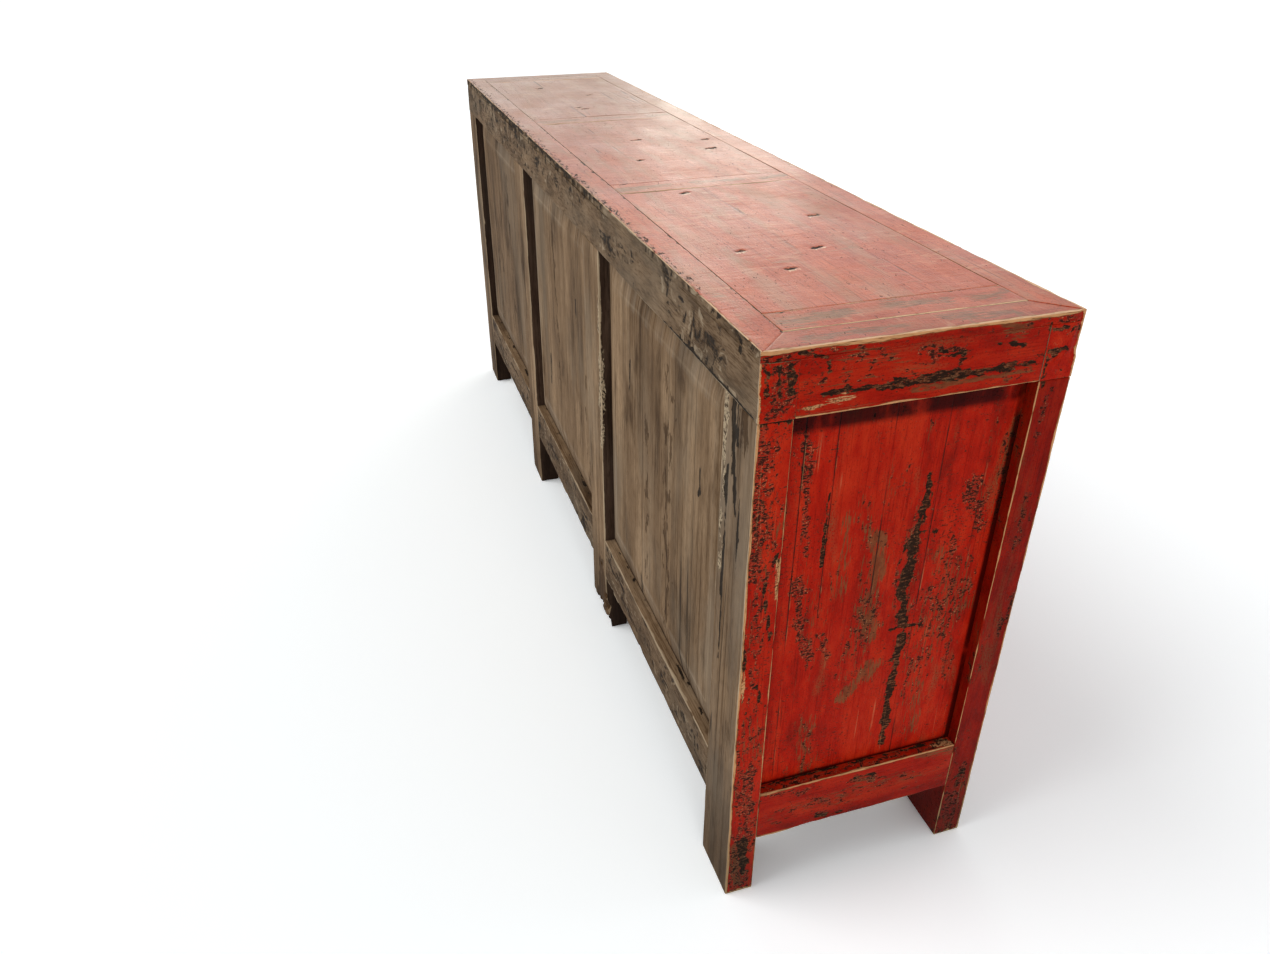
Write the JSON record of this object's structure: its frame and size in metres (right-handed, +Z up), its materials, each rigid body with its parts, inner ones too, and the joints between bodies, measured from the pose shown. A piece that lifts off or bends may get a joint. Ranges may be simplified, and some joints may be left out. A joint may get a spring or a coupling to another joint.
{
  "type": "lacquered sideboard",
  "caption": "Long worn red-lacquered wooden sideboard with a framed flush top, panelled ends and back, and pairs of pivot-hung cupboard doors with brass drop pulls.",
  "frame": {"origin": "on the floor, under the middle of the sideboard's bounding box with its pulls hanging", "axes": "+X along the length, left to right as seen from the front; +Y from the doors to the back; +Z up"},
  "size_m": [2.04, 0.4196, 0.89],
  "materials": {
    "red_lacquer": "worn red lacquer on wood",
    "bare_back_wood": "weathered bare wood",
    "bare_inside_wood": "planed bare wood",
    "aged_brass": "aged"
  },
  "bodies": {
    "case": {"front_left_corner_post": "red_lacquer", "front_left_inner_post": "red_lacquer", "front_right_inner_post": "red_lacquer", "front_right_corner_post": "red_lacquer", "front_top_rail": "red_lacquer", "front_left_bottom_rail": "red_lacquer", "front_middle_bottom_rail": "red_lacquer", "front_right_bottom_rail": "red_lacquer", "back_left_corner_post": "red_lacquer", "back_left_inner_post": "bare_back_wood", "back_right_inner_post": "bare_back_wood", "back_right_corner_post": "red_lacquer", "back_top_rail": "red_lacquer", "back_left_bottom_rail": "bare_back_wood", "back_middle_bottom_rail": "bare_back_wood", "back_right_bottom_rail": "bare_back_wood", "left_end_top_rail": "red_lacquer", "left_end_bottom_rail": "red_lacquer", "left_end_panel": "red_lacquer", "right_end_top_rail": "red_lacquer", "right_end_bottom_rail": "red_lacquer", "right_end_panel": "red_lacquer", "left_end_top_batten": "red_lacquer", "left_inner_top_batten": "red_lacquer", "right_inner_top_batten": "red_lacquer", "right_end_top_batten": "red_lacquer", "left_top_panel": "red_lacquer", "left_back_panel": "bare_back_wood", "middle_top_panel": "red_lacquer", "middle_back_panel": "bare_back_wood", "right_top_panel": "red_lacquer", "right_back_panel": "bare_back_wood", "cross_bearers": "bare_inside_wood", "floor_boards": "bare_inside_wood", "shelf_boards": "bare_inside_wood", "door_stops": "bare_inside_wood"},
    "left_bay_left_door": {"left_bay_left_door_frame": "red_lacquer", "left_bay_left_door_panel": "red_lacquer", "left_bay_left_door_lock_plate": "aged_brass"},
    "left_bay_left_pull": {"left_bay_left_door_pull": "aged_brass"},
    "left_bay_right_door": {"left_bay_right_door_frame": "red_lacquer", "left_bay_right_door_panel": "red_lacquer", "left_bay_right_door_lock_plate": "aged_brass"},
    "left_bay_right_pull": {"left_bay_right_door_pull": "aged_brass"},
    "middle_bay_left_door": {"middle_bay_left_door_frame": "red_lacquer", "middle_bay_left_door_panel": "red_lacquer", "middle_bay_left_door_lock_plate": "aged_brass"},
    "middle_bay_left_pull": {"middle_bay_left_door_pull": "aged_brass"},
    "middle_bay_right_door": {"middle_bay_right_door_frame": "red_lacquer", "middle_bay_right_door_panel": "red_lacquer", "middle_bay_right_door_lock_plate": "aged_brass"},
    "middle_bay_right_pull": {"middle_bay_right_door_pull": "aged_brass"},
    "right_bay_left_door": {"right_bay_left_door_frame": "red_lacquer", "right_bay_left_door_panel": "red_lacquer", "right_bay_left_door_lock_plate": "aged_brass"},
    "right_bay_left_pull": {"right_bay_left_door_pull": "aged_brass"},
    "right_bay_right_door": {"right_bay_right_door_frame": "red_lacquer", "right_bay_right_door_panel": "red_lacquer", "right_bay_right_door_lock_plate": "aged_brass"},
    "right_bay_right_pull": {"right_bay_right_door_pull": "aged_brass"}
  },
  "joints": [
    {"name": "left_bay_left_door_swing", "type": "hinge", "parent": "case", "child": "left_bay_left_door", "pos_m": [-0.911, -0.1832, 0.206], "axis": [0, 0, -1], "range_deg": [0, 90]},
    {"name": "left_bay_left_pull_swing", "type": "hinge", "parent": "left_bay_left_door", "child": "left_bay_left_pull", "pos_m": [-0.66925, -0.2058, 0.5245], "axis": [-1, 0, 0], "range_deg": [0, 75]},
    {"name": "left_bay_right_door_swing", "type": "hinge", "parent": "case", "child": "left_bay_right_door", "pos_m": [-0.3755, -0.1832, 0.206], "axis": [0, 0, 1], "range_deg": [0, 90]},
    {"name": "left_bay_right_pull_swing", "type": "hinge", "parent": "left_bay_right_door", "child": "left_bay_right_pull", "pos_m": [-0.61725, -0.2058, 0.5245], "axis": [-1, 0, 0], "range_deg": [0, 75]},
    {"name": "middle_bay_left_door_swing", "type": "hinge", "parent": "case", "child": "middle_bay_left_door", "pos_m": [-0.2525, -0.1832, 0.206], "axis": [0, 0, -1], "range_deg": [0, 90]},
    {"name": "middle_bay_left_pull_swing", "type": "hinge", "parent": "middle_bay_left_door", "child": "middle_bay_left_pull", "pos_m": [-0.026, -0.2058, 0.5245], "axis": [-1, 0, 0], "range_deg": [0, 75]},
    {"name": "middle_bay_right_door_swing", "type": "hinge", "parent": "case", "child": "middle_bay_right_door", "pos_m": [0.2525, -0.1832, 0.206], "axis": [0, 0, 1], "range_deg": [0, 90]},
    {"name": "middle_bay_right_pull_swing", "type": "hinge", "parent": "middle_bay_right_door", "child": "middle_bay_right_pull", "pos_m": [0.026, -0.2058, 0.5245], "axis": [-1, 0, 0], "range_deg": [0, 75]},
    {"name": "right_bay_left_door_swing", "type": "hinge", "parent": "case", "child": "right_bay_left_door", "pos_m": [0.3755, -0.1832, 0.206], "axis": [0, 0, -1], "range_deg": [0, 90]},
    {"name": "right_bay_left_pull_swing", "type": "hinge", "parent": "right_bay_left_door", "child": "right_bay_left_pull", "pos_m": [0.61725, -0.2058, 0.5245], "axis": [-1, 0, 0], "range_deg": [0, 75]},
    {"name": "right_bay_right_door_swing", "type": "hinge", "parent": "case", "child": "right_bay_right_door", "pos_m": [0.911, -0.1832, 0.206], "axis": [0, 0, 1], "range_deg": [0, 90]},
    {"name": "right_bay_right_pull_swing", "type": "hinge", "parent": "right_bay_right_door", "child": "right_bay_right_pull", "pos_m": [0.66925, -0.2058, 0.5245], "axis": [-1, 0, 0], "range_deg": [0, 75]}
  ]
}
